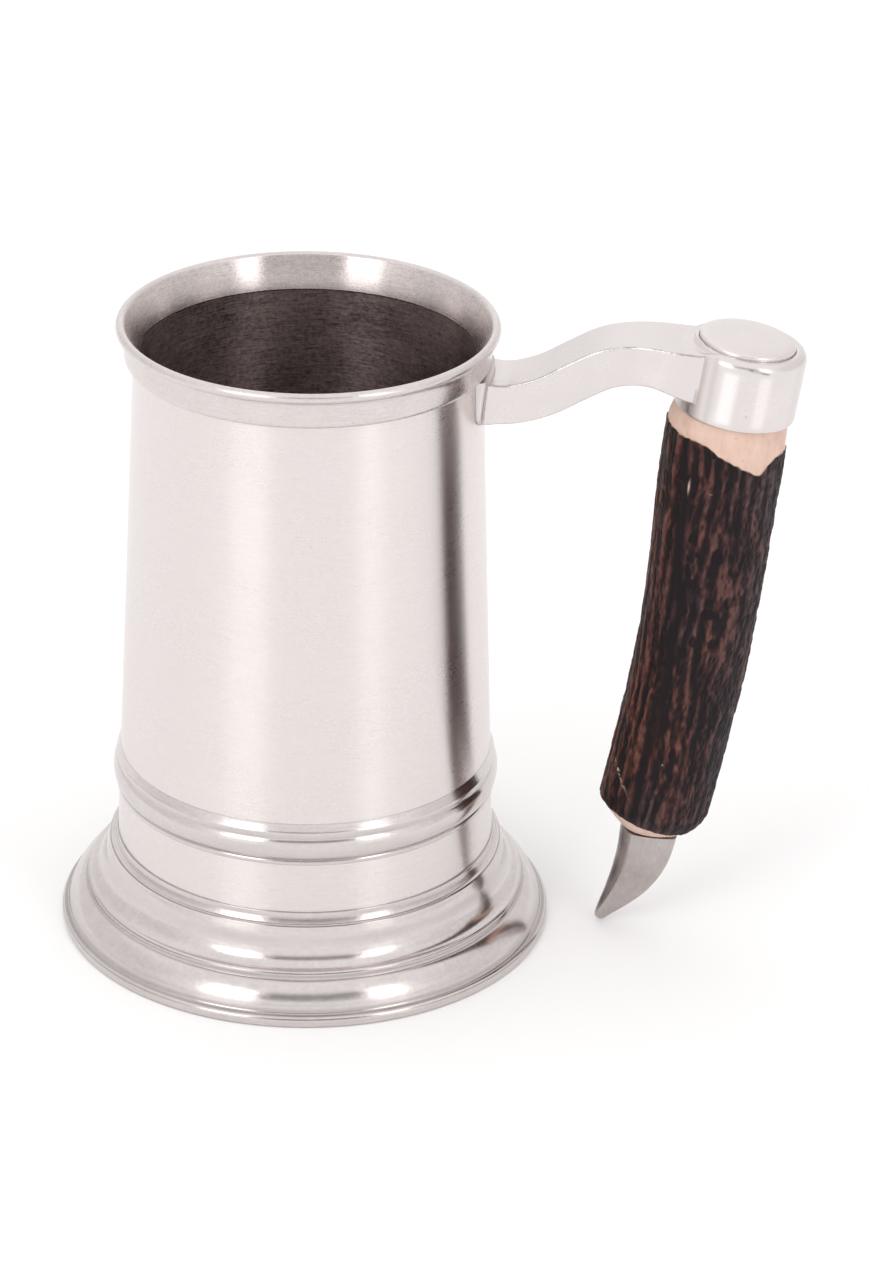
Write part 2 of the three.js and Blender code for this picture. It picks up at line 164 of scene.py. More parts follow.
# ---- node helpers ----
class Tree:
    """A few short cuts for building one node material."""

    def __init__(self, name):
        self.mat = bpy.data.materials.new(name)
        self.mat.use_nodes = True
        self.t = self.mat.node_tree
        self.t.nodes.clear()
        self.out = self.t.nodes.new("ShaderNodeOutputMaterial")
        self.bsdf = self.t.nodes.new("ShaderNodeBsdfPrincipled")
        self.link(self.bsdf.outputs[0], self.out.inputs[0])

    def link(self, a, b):
        self.t.links.new(a, b)

    def put(self, socket, value):
        if isinstance(value, bpy.types.NodeSocket):
            self.link(value, socket)
        else:
            socket.default_value = value

    def coords(self):
        """Object coordinates moved so that the cup's axis is the middle."""
        tc = self.t.nodes.new("ShaderNodeTexCoord")
        mp = self.t.nodes.new("ShaderNodeMapping")
        mp.inputs["Location"].default_value = tuple(-AXIS)
        self.link(tc.outputs["Object"], mp.inputs["Vector"])
        return mp.outputs[0]

    def math(self, op, a, b=0.0):
        n = self.t.nodes.new("ShaderNodeMath")
        n.operation = op
        self.put(n.inputs[0], a)
        self.put(n.inputs[1], b)
        return n.outputs[0]

    def split(self, v):
        n = self.t.nodes.new("ShaderNodeSeparateXYZ")
        self.link(v, n.inputs[0])
        return n.outputs

    def join(self, x, y, z):
        n = self.t.nodes.new("ShaderNodeCombineXYZ")
        for s, v in zip(n.inputs, (x, y, z)):
            self.put(s, v)
        return n.outputs[0]

    def noise(self, vec, scale, detail=3.0, rough=0.5):
        n = self.t.nodes.new("ShaderNodeTexNoise")
        self.link(vec, n.inputs["Vector"])
        n.inputs["Scale"].default_value = scale
        n.inputs["Detail"].default_value = detail
        n.inputs["Roughness"].default_value = rough
        return n.outputs["Fac"]

    def voronoi(self, vec, scale):
        n = self.t.nodes.new("ShaderNodeTexVoronoi")
        self.link(vec, n.inputs["Vector"])
        n.inputs["Scale"].default_value = scale
        return n.outputs["Distance"]

    def scale(self, vec, s):
        n = self.t.nodes.new("ShaderNodeMapping")
        n.inputs["Scale"].default_value = s
        self.link(vec, n.inputs["Vector"])
        return n.outputs[0]

    def ramp(self, fac, *stops):
        n = self.t.nodes.new("ShaderNodeValToRGB")
        cr = n.color_ramp
        while len(cr.elements) < len(stops):
            cr.elements.new(0.5)
        for e, (pos, col) in zip(cr.elements, stops):
            e.position = pos
            e.color = (*col, 1)
        self.link(fac, n.inputs[0])
        return n.outputs[0]

    def span(self, fac, a, b, c, d):
        """Maps a..b to c..d."""
        n = self.t.nodes.new("ShaderNodeMapRange")
        self.link(fac, n.inputs[0])
        for i, v in enumerate((a, b, c, d)):
            n.inputs[i + 1].default_value = v
        return n.outputs[0]

    def smooth(self, fac, a, b, c, d):
        out = self.span(fac, a, b, c, d)
        out.node.interpolation_type = "SMOOTHSTEP"
        return out

    def mix(self, fac, a, b):
        n = self.t.nodes.new("ShaderNodeMix")
        n.data_type = "RGBA"
        self.put(n.inputs[0], fac)
        for s, v in ((n.inputs[6], a), (n.inputs[7], b)):
            self.put(s, (*v, 1) if isinstance(v, tuple) else v)
        return n.outputs[2]

    def bump(self, height, strength, distance, normal=None):
        n = self.t.nodes.new("ShaderNodeBump")
        n.inputs["Strength"].default_value = strength
        n.inputs["Distance"].default_value = distance
        self.link(height, n.inputs["Height"])
        if normal is not None:
            self.link(normal, n.inputs["Normal"])
        return n.outputs[0]

    def attribute(self, name):
        n = self.t.nodes.new("ShaderNodeAttribute")
        n.attribute_name = name
        return n.outputs["Fac"]

    def set(self, **kw):
        for k, v in kw.items():
            self.put(self.bsdf.inputs[k.replace("_", " ")], v)
        return self.mat


RING = 0.04                                         # about the radius of the cup, in metres


def around(t, squeeze):
    """Places measured in metres round the cup, with the height squeezed, so that noise runs in rings."""
    x, y, z = t.split(t.coords())
    r = t.math("SQRT", t.math("ADD", t.math("MULTIPLY", x, x), t.math("MULTIPLY", y, y)))
    cx = t.math("MULTIPLY", t.math("DIVIDE", x, r), RING)
    cy = t.math("MULTIPLY", t.math("DIVIDE", y, r), RING)
    return t.join(cx, cy, t.math("MULTIPLY", t.math("ADD", z, r), squeeze))


# dark colour of the tarnished grooves and of the painted shade in the mouldings
TARNISH_AND_SHADE_COLOUR = (0.03, 0.022, 0.02)
# Heights in millimetres of dark bands in the mouldings, partly tarnished and partly painted shade, in the
# grooves, fillets and on the foot's lower curve: (middle, half width, how dark)
TARNISH_AND_SHADE_BANDS = [
    (41.95, 0.3, 0.14), (38.85, 0.4, 0.12), (33.55, 0.3, 0.2), (32.5, 0.26, 0.3),     # reed and bead
    (21.1, 0.3, 0.12), (19.7, 0.95, 0.22), (18.55, 0.22, 0.55),                       # shoulder
    (9.75, 0.2, 0.5), (9.1, 0.65, 0.24), (8.35, 0.26, 0.26),                          # edge bead
    (4.1, 0.9, 0.08), (3.0, 0.9, 0.3), (2.35, 0.3, 0.34), (1.75, 0.24, 0.34),         # foot's edge
]


def add_tarnish_and_shade(t, colour):
    """Darkens a colour in bands in the mouldings: tarnished grooves and painted shade."""
    z = t.math("MULTIPLY", t.split(t.coords())[2], 1 / MM)
    for middle, half, dark in TARNISH_AND_SHADE_BANDS:
        away = t.math("ABSOLUTE", t.math("SUBTRACT", z, middle))
        near = t.smooth(away, 0.0, half, dark, 0.0)
        colour = t.mix(near, colour, TARNISH_AND_SHADE_COLOUR)
    return colour


def pewter(name, tint, rough, aniso, brush=1.0, grain=0.0, mottle=0.03, tarnish_and_shade=False):
    """Spun pewter, brushed finely round the cup.

    brush is how deep the rings are, grain how rough the skin is between them, and mottle how much
    the tint comes and goes. The last flag adds tarnished grooves and painted shade in the mouldings.
    """
    t = Tree(name)
    short = t.noise(around(t, 4.5), 620.0, 4.0, 0.65)
    long = t.noise(around(t, 22.0), 150.0, 3.0, 0.6)
    cloud = t.noise(t.coords(), 55.0, 5.0, 0.62)
    speck = t.noise(t.coords(), 1300.0, 2.0, 0.55)
    streak = t.math("MULTIPLY", t.math("ADD", short, long), 0.5)
    tone = t.math("ADD", t.math("MULTIPLY", streak, 0.55), t.math("MULTIPLY", cloud, 0.25))
    tone = t.math("ADD", tone, t.math("MULTIPLY", speck, 0.2))
    lo = tuple(c * (1 - mottle) for c in tint)
    hi = tuple(min(1, c * (1 + mottle)) for c in tint)
    colour = t.ramp(tone, (0.38, lo), (0.62, hi))
    # tarnished grooves and painted shade in the mouldings
    if tarnish_and_shade:
        colour = add_tarnish_and_shade(t, colour)
    r = t.math("ADD", t.span(streak, 0.3, 0.7, rough - 0.03, rough + 0.03),
               t.span(cloud, 0.3, 0.7, -0.015, 0.025))
    n = t.bump(short, 0.12 * brush, 0.00006)
    n = t.bump(long, 0.12 * brush, 0.00004, n)
    n = t.bump(speck, 0.05 * brush + grain, 0.00006, n)
    tangent = t.t.nodes.new("ShaderNodeTangent")
    tangent.direction_type = "RADIAL"
    tangent.axis = "Z"
    t.link(tangent.outputs[0], t.bsdf.inputs["Tangent"])
    return t.set(Base_Color=colour, Metallic=1.0, Roughness=r, Normal=n, Anisotropic=aniso,
                 Anisotropic_Rotation=0.25)


def cast(name, tint, rough, aniso, pits=1.0, painted_light_and_lines=False):
    """Cast pewter, polished along the arm and round the boss, with a few fine pits and dull patches.

    The last flag adds the painted highlight and painted shade bands, and the dark lines, that the mesh
    itself marks.
    """
    t = Tree(name)
    v = t.coords()
    x, y, _ = t.split(v)
    # the polish runs along the arm up to the boss, and from there round the boss's middle
    near = t.smooth(x, 0.078, 0.084, 0.0, 1.0)
    lean = t.math("MULTIPLY", t.math("SUBTRACT", x, BOSS_X * MM + 0.0005), near)
    t.link(t.join(t.math("MULTIPLY", y, -1.0), t.math("ADD", lean, 0.00001), 0.0), t.bsdf.inputs["Tangent"])
    cloud = t.noise(v, 90.0, 5.0, 0.6)
    fine = t.noise(v, 700.0, 3.0, 0.55)
    pit = t.span(t.voronoi(v, 330.0), 0.03, 0.12, 1.0, 0.0)
    where = t.span(t.noise(v, 130.0, 2.0, 0.5), 0.6, 0.68, 0.0, 1.0)
    pit = t.math("MULTIPLY", pit, where)
    colour = t.ramp(cloud, (0.35, tuple(c * 0.95 for c in tint)), (0.65, tint))
    colour = t.mix(t.math("MULTIPLY", pit, 0.45), colour, (0.3, 0.27, 0.26))
    if painted_light_and_lines:
        # painted highlight and painted shade bands on the boss's side, standing for reflections
        colour = t.mix(t.attribute("painted_highlight"), colour, (0.93, 0.88, 0.87))
        colour = t.mix(t.attribute("painted_shade"), colour, (0.42, 0.385, 0.375))
        # thin dark lines along the arm's upper edge and under the boss's rim
        broken = t.span(t.noise(v, 420.0, 4.0, 0.6), 0.4, 0.55, 0.25, 1.0)
        colour = t.mix(t.math("MULTIPLY", t.attribute("dark_line"), broken), colour, (0.09, 0.07, 0.065))
    r = t.math("ADD", t.span(cloud, 0.3, 0.7, rough - 0.03, rough + 0.06),
               t.span(fine, 0.3, 0.7, -0.01, 0.02))
    n = t.bump(cloud, 0.05, 0.0005)
    n = t.bump(fine, 0.05, 0.00005, n)
    n = t.bump(t.math("SUBTRACT", 1.0, pit), 0.4 * pits, 0.0001, n)
    return t.set(Base_Color=colour, Metallic=1.0, Roughness=r, Normal=n, Anisotropic=aniso,
                 Anisotropic_Rotation=0.25)


PEWTER = (0.785, 0.728, 0.714)
m_body = pewter("pewter_body", PEWTER, 0.285, 0.96, mottle=0.045, grain=0.03)
m_turned = pewter("pewter_turned", (0.635, 0.585, 0.576), 0.19, 0.35, brush=0.8, grain=0.12,
                  mottle=0.08, tarnish_and_shade=True)
m_lip = pewter("pewter_lip", (0.675, 0.624, 0.612), 0.28, 0.6, brush=1.4, grain=0.2, mottle=0.09)
m_flare = pewter("pewter_flare", (0.65, 0.585, 0.57), 0.27, 0.95, brush=0.8, grain=0.15, mottle=0.24)
# the inside of the cup is painted dark as painted shade
m_inside_shaded = pewter("pewter_inside_shaded", (0.235, 0.182, 0.175), 0.40, 0.96, brush=2.4, grain=0.9, mottle=0.75)
m_cast = cast("cast_pewter_polished", (0.75, 0.70, 0.688), 0.24, 0.7, painted_light_and_lines=True)
m_plate = pewter("pewter_plate", (0.71, 0.66, 0.648), 0.38, 0.9, brush=0.8, grain=0.1, mottle=0.05)
m_cap = cast("cast_pewter_cap", (0.77, 0.717, 0.705), 0.27, 0.0, pits=0.5)


# ---- cup ----
def faces_axis(polygon):
    """Whether a polygon looks in towards the cup's axis."""
    c = polygon.center - AXIS
    return polygon.normal.x * c.x + polygon.normal.y * c.y < 0


def make_barrel():
    """The tapered cup wall; its inside is painted darker as painted shade."""
    lo, hi = BARREL_LOW, BARREL_TOP
    outer = refine([(barrel_r(lo), lo), (barrel_r(hi), hi)], 2.0)
    inner = refine([(barrel_r(hi) - WALL, hi), (barrel_r(lo) - WALL, lo)], 2.0)
    ob = turned("barrel_shell", outer + inner)
    hand_over(ob, "barrel", "pewter", m_body, m_inside_shaded)
    for p in ob.data.polygons:
        p.material_index = 1 if faces_axis(p) or abs(p.normal.z) > 0.7 else 0


def make_lip():
    """The spun rim: a plain band that steps out over the wall, a rolled edge and a flared mouth."""
    seat = barrel_r(BARREL_TOP) + 0.2
    roll_z = 139.35
    inside = sweep((38.5, 139.55), (37.5, 137.95), (36.3, 135.3), (35.95, 133.1), 16)
    prof = [
        (seat, 132.15), (37.7, 132.15),
        *arc(37.7, 133.25, 1.1, -70, 0, 10),
        (38.86, 134.6), (38.74, 136.1),
        *sweep((38.68, 136.8), (38.7, 137.7), (39.0, 138.05), (39.5, 138.3), 10),
        *arc(39.5, roll_z, 1.05, -55, 142, 28),
        *inside[1:],
        (35.95, 133.1), (seat, 133.1),
    ]
    clean = [prof[0]]
    for p in prof[1:]:
        if math.dist(p, clean[-1]) > 0.02:
            clean.append(p)
    ob = turned("lip_ring_spun", clean, sharp=50)
    hand_over(ob, "lip_ring", "pewter", m_lip, m_flare)
    for p in ob.data.polygons:
        if faces_axis(p) and p.center.z < (roll_z + 0.35) * MM:
            p.material_index = 1


def make_bead():
    """A small reed above the main bead, with a narrow flat and a step below it."""
    prof = [
        (barrel_r(42) + 0.02, 42.0),
        *sweep((40.56, 41.92), (40.62, 41.72), (40.72, 41.5), (40.8, 41.33), 6),
        (41.0, 40.89), (41.2, 40.45),
        *sweep((41.23, 40.39), (41.34, 40.2), (41.42, 40.08), (41.43, 39.85), 8),
        *sweep((41.43, 39.5), (41.43, 39.3), (41.34, 39.15), (41.34, 38.95), 6),
        *arc(40.2, 36.1, 1.95, 54, -55, 30, 1.59),
        (41.34, 33.5), (41.47, 33.32), *arc(41.3, 32.72, 0.2, 0, -90, 4),
        (barrel_r(32.45) + 0.05, 32.45),
    ]
    ob = turned("waist_bead_ring", prof, sharp=32)
    hand_over(ob, "waist_bead", "pewter", m_turned)


def make_skirt():
    """The moulded foot, from its collar on the wall down to the resting ring, and hollow below."""
    prof = [
        (barrel_r(21.1) + 0.06, 21.1), *arc(41.5, 20.9, 0.2, 80, 0, 4),
        (41.76, 20.4), *sweep((41.78, 20.15), (41.84, 19.95), (41.98, 19.7), (42.12, 19.45), 6),
        (42.38, 19.0), *sweep((42.4, 18.96), (42.44, 18.88), (42.5, 18.84), (42.6, 18.82), 4),
        *arc(42.62, 18.2, 0.62, 84, 40, 6), (43.14, 18.55), *arc(42.66, 18.12, 0.64, 35, 24, 2),
        *sweep((43.3, 18.15), (43.65, 17.35), (43.9, 16.6), (44.02, 15.7), 10),
        *sweep((44.02, 15.7), (44.12, 14.2), (44.7, 10.95), (47.38, 10.16), 22)[1:],
        *arc(47.42, 9.36, 0.8, 84, 0, 14), (48.22, 9.0), (48.22, 8.55),
        *sweep((48.24, 8.45), (48.28, 8.37), (48.36, 8.33), (48.5, 8.3), 4),
        *sweep((48.5, 8.3), (50.15, 7.6), (51.75, 5.5), (52.45, 3.1), 20)[1:],
        *sweep((52.45, 3.1), (52.5, 2.75), (52.65, 2.55), (52.9, 2.42), 4)[1:],
        *arc(52.75, 1.17, 1.25, 75, 0, 12), (FOOT_R, 0.25), (FOOT_R - 0.25, 0),
        (51.85, 0), (51.6, 0.2),
        *sweep((51.3, 1.8), (50.4, 4.4), (48.6, 6.6), (46.9, 8.1), 8),
        *sweep((46.2, 9.2), (45.0, 9.9), (43.4, 10.8), (42.5, 12.4), 6),
        (barrel_r(13.2) + 0.06, 13.2),
    ]
    ob = turned("base_skirt_spun", prof, sharp=38)
    hand_over(ob, "base_skirt", "pewter", m_turned)


def make_floor():
    """The bottom of the drinking space, with faint turning rings."""
    lo, hi = (v.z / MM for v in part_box("floor_disc"))
    r = barrel_r(hi) - WALL - 0.05
    top = [(r, hi - 0.3), (r - 0.5, hi)]
    rings, groove = 26, 0.05
    for i in range(rings):
        top.append(((r - 1.5) * (1 - i / rings), hi - groove * (i % 2)))
    prof = [(0, lo), (r, lo)] + top + [(0, hi)]
    ob = turned("floor_disc_turned", refine(prof, 3.0), sharp=30)
    # the floor of the cup gets the same painted shade as the inside of the wall
    hand_over(ob, "floor_disc", "pewter", m_inside_shaded)


make_barrel()
make_lip()
make_bead()
make_skirt()
make_floor()


# ---- arm and boss ----
BOSS = AXIS + Vector((BOSS_X * MM, 0, 125.1 * MM))
BOSS_TILT = math.radians(8)
BOSS_R, BOSS_H = 12.9, 15.4
CAP_R, CAP_BASE = 10.2, 13.7
ARM_W, ARM_H = 14.4, 8.8
ARM_SPREAD = 0.306                                  # how much wider the near side is at the boss
GRIP_TOP = AXIS + Vector((89.1 * MM, 0, 124.6 * MM))
GRIP_END = AXIS + Vector((75.5 * MM, 0, 24.0 * MM))
ROD_DIR = (GRIP_TOP - GRIP_END).normalized()
ROD_TILT = math.atan2(ROD_DIR.x, ROD_DIR.z)
ARM_LINE = [(33, 126.3), (38.5, 126.2), (44, 126.5), (50.5, 128.6), (57, 132.3), (63.4, 135.5),
            (70.5, 136.6), (79, 136.25), (88, 135.4)]


def spline(points, n):
    """Catmull-Rom through the points: n + 1 positions and unit tangents."""
    p = np.array(points, float)
    out, tan = [], []
    for k in range(n + 1):
        s = (len(p) - 1) * k / n
        i = min(int(s), len(p) - 2)
        w = s - i
        a, b = p[max(i - 1, 0)], p[i]
        c, d = p[i + 1], p[min(i + 2, len(p) - 1)]
        v0, v1 = (c - a) / 2, (d - b) / 2
        cubic = 2 * b - 2 * c + v0 + v1
        square = -3 * b + 3 * c - 2 * v0 - v1
        out.append(cubic * w ** 3 + square * w ** 2 + v0 * w + b)
        g = cubic * 3 * w ** 2 + square * 2 * w + v0
        tan.append(g / np.hypot(*g))
    return np.array(out), np.array(tan)


def rounded_box(w, h, r, n=5):
    """Outline of a rectangle with round corners, w across and h high, counter-clockwise."""
    out = []
    for cx, cy, a0 in ((w / 2 - r, h / 2 - r, 0), (-w / 2 + r, h / 2 - r, 90),
                       (-w / 2 + r, -h / 2 + r, 180), (w / 2 - r, -h / 2 + r, 270)):
        for i in range(n + 1):
            a = math.radians(a0 + 90 * i / n)
            out.append((cx + r * math.cos(a), cy + r * math.sin(a)))
    return out


def loft(name, rings, sharp=None):
    """A closed skin over a row of rings that all have the same number of points."""
    n = len(rings[0])
    verts = [v for ring in rings for v in ring]
    faces = []
    for j in range(len(rings) - 1):
        for i in range(n):
            k = (i + 1) % n
            faces.append((j * n + i, j * n + k, (j + 1) * n + k, (j + 1) * n + i))
    faces.append(tuple(range(n))[::-1])
    faces.append(tuple((len(rings) - 1) * n + i for i in range(n)))
    return mesh_object(name, verts, faces, sharp)


def baked(ob):
    """Turns an object's modifiers into its mesh."""
    dg = bpy.context.evaluated_depsgraph_get()
    dg.update()
    me = bpy.data.meshes.new_from_object(ob.evaluated_get(dg))
    ob.modifiers.clear()
    ob.data = me
    return ob


def boolean(ob, other, how):
    """Joins or cuts one object with another, and removes the other."""
    m = ob.modifiers.new(how, "BOOLEAN")
    m.operation = how
    m.object = other
    m.solver = "EXACT"
    baked(ob)
    bpy.data.objects.remove(other)


def shape_and_paint_arm(arm, line):
    """Blends the boss's rim into the arm, and marks where the casting gets painted highlights, painted
    shade and dark lines.
    """
    me = arm.data
    at = np.empty(len(me.vertices) * 3)
    me.vertices.foreach_get("co", at)
    at = at.reshape(-1, 3)
    x, y, z = ((at - np.array(AXIS)) / MM).T
    # position in the boss's own frame: across, and height over its underside
    off = np.array((BOSS - AXIS)) / MM
    dx, dz = x - off[0], z - off[2]
    c, s = math.cos(BOSS_TILT), math.sin(BOSS_TILT)
    bx, h = dx * c - dz * s, dx * s + dz * c
    radius = np.hypot(bx, y)
    turn = np.arctan2(y, bx)                          # 180 degrees is the side of the arm
    slope = np.interp(x, line[:, 0], np.gradient(line[:, 1], line[:, 0]))
    lift = np.sqrt(1 + slope ** 2)
    top = np.interp(x, line[:, 0], line[:, 1]) + ARM_H / 2 * lift
    over = np.maximum(z - top - 0.1, 0)
    blend = step(-np.cos(turn), 0.3, 0.75) * step(radius, CAP_R + 0.25, CAP_R + 1.5)
    blend *= step(10.5 - np.abs(y), 0, 3)
    at[:, 2] -= over * blend * MM
    me.vertices.foreach_set("co", at.ravel())
    me.update()

    # the boss's side has soft upright bands of painted highlight, standing for reflections; u runs from -1
    # to 1 along the arm's direction
    on_side = step(radius, BOSS_R - 0.9, BOSS_R - 0.5) * step(BOSS_R + 0.35 - radius, 0, 0.2)
    on_side *= step(-y, 1.0, 2.0)
    u = bx / BOSS_R
    bands = 0.9 * np.exp(-((u + 0.2) / 0.13) ** 4) + 0.55 * np.exp(-((u - 0.36) / 0.1) ** 4)
    painted_highlight = bands * step(h, 0.6, 2.0) * step(13.4 - h, 0, 1.2) * on_side
    # painted shade: a grey band between the highlights, one at the far edge, and a patch low down where the
    # arm meets the boss
    grey = 0.3 * np.exp(-((u + 0.47) / 0.05) ** 2) + 0.22 * step(u, 0.8, 0.92)
    shade_by_arm = 0.85 * step(-u, 0.62, 0.72) * step(7.5 - h, 0, 2.0)
    painted_shade = (grey + shade_by_arm) * on_side
    # a thin dark line sits along the upper edge of the arm, at its end, and a short one under the rim
    near_edge = -ARM_W / 2 * (1 + ARM_SPREAD * step(x, 66, 80))
    edge = np.hypot((z - top) / lift, y - near_edge)
    dark_line = 0.75 * np.exp(-(edge / 0.28) ** 2) * step(x, 38, 39.5) * step(84.5 - x, 0, 1.5)
    nick = np.abs(h - (BOSS_H - 1.15 - 1.6 * (u - 0.1)))
    dark_line += 0.8 * np.exp(-(nick / 0.16) ** 2) * step(u, 0.02, 0.12) * step(0.42 - u, 0, 0.04) * on_side
    for name, field in (("painted_highlight", painted_highlight), ("painted_shade", painted_shade), ("dark_line", dark_line)):
        mark = me.attributes.new(name, "FLOAT", "POINT")
        mark.data.foreach_set("value", np.clip(field, 0, 1).astype(np.float32))


def make_arm():
    """The S-shaped arm and the boss at its end, cast as one, with the pocket for the nut and the rod."""
    pts, tan = spline(ARM_LINE, 90)
    rings = []
    for (x, z), (tx, tz) in zip(pts, tan):
        wider = step(x, 66, 80)
        deeper = step(x, 71, 84)
        root = 1 + 0.05 * math.exp(-((x - 38.5) / 1.6) ** 2)
        ring = []
        for cy, cn in rounded_box(ARM_W * root, ARM_H * root, 0.3):
            cy *= 1 + (ARM_SPREAD if cy < 0 else 0.02) * wider
            cn *= 1 + (0.5 * deeper if cn < 0 else 0)
            ring.append(AXIS + Vector(((x - tz * cn) * MM, cy * MM, (z + tx * cn) * MM)))
        rings.append(ring)
    arm = loft("handle_arm_cast", rings)
    soft, under = 1.8, 0.6
    boss = turned("boss", [(0, 0), (BOSS_R - under, 0), *arc(BOSS_R - under, under, under, -90, 0, 5),
                           *arc(BOSS_R - soft, BOSS_H - soft, soft, 0, 90, 14), (0, BOSS_H)],
                  128, None, BOSS, BOSS_TILT)
    boolean(arm, boss, "UNION")
    # round pieces to cut away, from radius r0 at height z0 to r1 at z1; the arm ends just inside the saddle
    for name, r0, z0, r1, z1, segs, origin, tilt in (
            ("cap_seat", CAP_R + 0.04, CAP_BASE - 0.2, CAP_R + 0.04, 20, 96, BOSS, BOSS_TILT),
            ("nut_pocket", 6.4, 5.4, 6.4, 14.5, 48, GRIP_TOP, ROD_TILT),
            ("rod_bore", 3.5, -6, 3.5, 10, 32, GRIP_TOP, ROD_TILT),
            ("cup_side", saddle_r(110) - 0.18, 110, saddle_r(139) - 0.18, 139, 192, AXIS, 0)):
        cutter = turned(name, [(0, z0), (r0, z0), (r1, z1), (0, z1)], segs, None, origin, tilt)
        boolean(arm, cutter, "DIFFERENCE")
    m = arm.modifiers.new("cast", "REMESH")
    m.mode = "VOXEL"
    m.voxel_size = 0.24 * MM
    m = arm.modifiers.new("soften", "SMOOTH")
    m.factor = 0.5
    m.iterations = 4
    baked(arm)
    shape_and_paint_arm(arm, pts)
    arm.data.shade_smooth()
    hand_over(arm, "handle_arm", "cast_pewter", m_cast)


def make_cap():
    """The flat disc let into the top of the boss."""
    prof = [(0, CAP_BASE), (CAP_R, CAP_BASE), (CAP_R, BOSS_H),
            *arc(CAP_R - 0.6, 15.7, 0.6, 0, 80, 8), (8.6, 16.36), (5.0, 16.4), (0, 16.42)]
    ob = turned("boss_cap_disc", refine(prof, 1.5), 160, 35, BOSS, BOSS_TILT)
    hand_over(ob, "boss_cap", "cast_pewter", m_cap)


def make_saddle():
    """The thin curved plate behind the arm's root, with round lower corners and a soft edge."""
    lo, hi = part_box("arm_saddle")
    z0, z1 = lo.z / MM, hi.z / MM
    half = hi.y / MM
    n, m = 64, 48
    front, back = [], []
    for j in range(m + 1):
        for i in range(n + 1):
            p, q = 2 * i / n - 1, 2 * j / m - 1
            # squeeze a square grid into a plate with round lower corners
            fx = p * math.sqrt(1 - 0.42 * max(0.0, -q) ** 6 * p * p)
            fz = q * math.sqrt(1 - 0.25 * p ** 6 * max(0.0, -q))
            y = half * fx
            z = (z0 + z1) / 2 + (z1 - z0) / 2 * fz
            edge = min(1 - abs(p), 1 - abs(q) if q < 0 else 1.0)
            k = min(1.0, edge / 0.2)
            soft = math.sqrt(max(0.0, 1 - (1 - k) ** 2))
            skin = barrel_r(z) + 0.04
            r = skin + 0.06 + (saddle_r(z) - skin - 0.06) * soft
            for rr, keep in ((r, front), (skin, back)):
                x = math.sqrt(rr * rr - y * y)
                keep.append(AXIS + Vector((x * MM, y * MM, z * MM)))
    verts = front + back
    w = n + 1
    off = len(front)
    faces = []
    for j in range(m):
        for i in range(n):
            a = j * w + i
            faces.append((a, a + 1, a + w + 1, a + w))
            faces.append((off + a, off + a + w, off + a + w + 1, off + a + 1))
    loop = list(range(w)) + [j * w + n for j in range(1, m + 1)]
    loop += [m * w + i for i in range(n - 1, -1, -1)] + [j * w for j in range(m - 1, 0, -1)]
    for a, b in zip(loop, loop[1:] + loop[:1]):
        faces.append((a, off + a, off + b, b))
    ob = mesh_object("arm_saddle_plate", verts, faces, 50)
    hand_over(ob, "arm_saddle", "cast_pewter", m_plate)


make_arm()
make_cap()
make_saddle()


# ---- horn grip ----
def noise_round(u, a, nu, na, seed):
    """Smooth noise from 0 to 1 that closes round the horn: nu cells along it, na cells round it."""
    g = np.random.RandomState(seed).rand(nu + 3, na)
    x = np.clip(u, 0, 1) * nu + 0.5
    y = (a / (2 * math.pi) % 1.0) * na
    i, j = x.astype(int), y.astype(int) % na
    fx, fy = x - np.floor(x), y - np.floor(y)
    fx, fy = fx * fx * (3 - 2 * fx), fy * fy * (3 - 2 * fy)
    k = (j + 1) % na
    here = g[i, j] * (1 - fx) + g[i + 1, j] * fx
    beside = g[i, k] * (1 - fx) + g[i + 1, k] * fx
    return here * (1 - fy) + beside * fy


